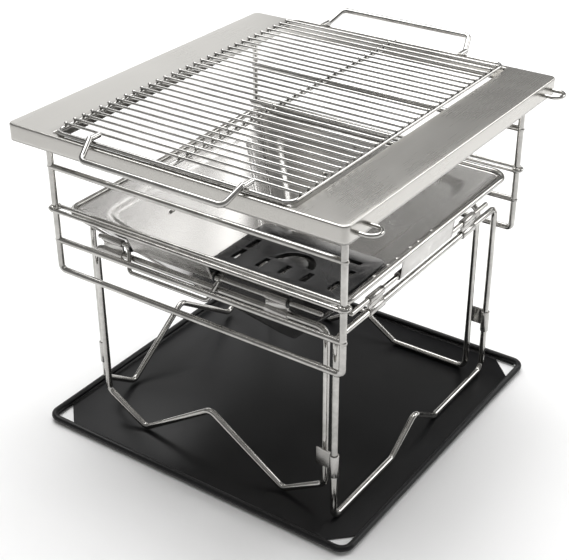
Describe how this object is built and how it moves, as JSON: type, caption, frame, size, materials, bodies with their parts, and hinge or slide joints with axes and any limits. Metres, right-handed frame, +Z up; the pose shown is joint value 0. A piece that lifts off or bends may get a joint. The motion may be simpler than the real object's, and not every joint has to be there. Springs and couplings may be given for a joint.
{
  "type": "folding charcoal grill",
  "caption": "Square folding charcoal grill: sloping sheet firebox on bent-wire legs over an ash tray, with a lift-off wire stand and rod grate.",
  "frame": {"origin": "on the floor under the middle of the ash tray", "axes": "+X to the right along the front, +Y to the back, +Z up"},
  "size_m": [0.4883, 0.534, 0.4499],
  "materials": {
    "black_enamel": "satin black enamel",
    "cast_plate": "matt black",
    "black_washer": "matt black",
    "stand_wire": "bright drawn stainless wire",
    "grate_wire": "bright plated wire",
    "frame_sheet": "satin stainless sheet",
    "firebox_sheet": "bright stainless sheet",
    "clip_sheet": "bright stainless sheet"
  },
  "bodies": {
    "tray": {"ash_tray": "black_enamel"},
    "firebox": {"rim_wire": "stand_wire", "front_panel": "firebox_sheet", "back_panel": "firebox_sheet", "left_panel": "firebox_sheet", "right_panel": "firebox_sheet", "panel_rivets": "firebox_sheet", "front_hinge_tube": "clip_sheet", "back_hinge_tube": "clip_sheet", "left_hinge_tube": "clip_sheet", "right_hinge_tube": "clip_sheet", "front_hinge_rod": "stand_wire", "back_hinge_rod": "stand_wire", "left_hinge_rod": "stand_wire", "right_hinge_rod": "stand_wire", "handle_washers": "black_washer", "left_leg_frame": "stand_wire", "right_leg_frame": "stand_wire", "left_leg_clips": "clip_sheet", "right_leg_clips": "clip_sheet"},
    "front_legs": {"front_leg_frame": "stand_wire", "front_leg_clips": "clip_sheet"},
    "back_legs": {"back_leg_frame": "stand_wire", "back_leg_clips": "clip_sheet"},
    "front_right_link_body": {"front_right_link": "clip_sheet"},
    "back_right_link_body": {"back_right_link": "clip_sheet"},
    "front_left_link_body": {"front_left_link": "clip_sheet"},
    "back_left_link_body": {"back_left_link": "clip_sheet"},
    "handle": {"carry_handle": "stand_wire"},
    "coal_plate": {"charcoal_plate": "cast_plate"},
    "stand": {"top_frame": "frame_sheet", "stand_brackets": "frame_sheet", "front_hook_loop": "stand_wire", "back_hook_loop": "stand_wire"},
    "front_wires": {"front_wire_panel": "stand_wire"},
    "back_wires": {"back_wire_panel": "stand_wire"},
    "grate": {"grate_frame": "grate_wire", "grate_rods": "grate_wire", "grate_cross_bar": "grate_wire", "front_grate_handle": "grate_wire", "back_grate_handle": "grate_wire"}
  },
  "joints": [
    {"name": "grill_lift", "type": "slide", "parent": "tray", "child": "firebox", "axis": [0, 0, 1], "range_m": [0, 0.1]},
    {"name": "front_legs_fold", "type": "hinge", "parent": "firebox", "child": "front_legs", "pos_m": [0, -0.179, 0.272], "axis": [1, 0, 0], "range_deg": [0, 38]},
    {"name": "back_legs_fold", "type": "hinge", "parent": "firebox", "child": "back_legs", "pos_m": [0, 0.179, 0.272], "axis": [-1, 0, 0], "range_deg": [0, 38]},
    {"name": "front_right_link_turn", "type": "hinge", "parent": "firebox", "child": "front_right_link_body", "pos_m": [0.187, -0.189, 0.083], "axis": [0, 0, 1], "range_deg": [0, 90]},
    {"name": "back_right_link_turn", "type": "hinge", "parent": "firebox", "child": "back_right_link_body", "pos_m": [0.187, 0.189, 0.083], "axis": [0, 0, -1], "range_deg": [0, 90]},
    {"name": "front_left_link_turn", "type": "hinge", "parent": "firebox", "child": "front_left_link_body", "pos_m": [-0.191, -0.16, 0.083], "axis": [0, 0, -1], "range_deg": [0, 90]},
    {"name": "back_left_link_turn", "type": "hinge", "parent": "firebox", "child": "back_left_link_body", "pos_m": [-0.191, 0.16, 0.083], "axis": [0, 0, 1], "range_deg": [0, 90]},
    {"name": "carry_handle_swing", "type": "hinge", "parent": "firebox", "child": "handle", "pos_m": [0, -0.179, 0.272], "axis": [-1, 0, 0], "range_deg": [0, 30]},
    {"name": "charcoal_plate_lift", "type": "slide", "parent": "firebox", "child": "coal_plate", "axis": [0, 0, 1], "range_m": [0, 0.08]},
    {"name": "stand_lift", "type": "slide", "parent": "firebox", "child": "stand", "axis": [0, 0, 1], "range_m": [0, 0.15]},
    {"name": "front_wire_panel_swing", "type": "hinge", "parent": "stand", "child": "front_wires", "pos_m": [0, -0.205, 0.412], "axis": [-1, 0, 0], "range_deg": [0, 60]},
    {"name": "back_wire_panel_swing", "type": "hinge", "parent": "stand", "child": "back_wires", "pos_m": [0, 0.205, 0.412], "axis": [1, 0, 0], "range_deg": [0, 60]},
    {"name": "grate_lift", "type": "slide", "parent": "stand", "child": "grate", "axis": [0, 0, 1], "range_m": [0, 0.1]}
  ]
}
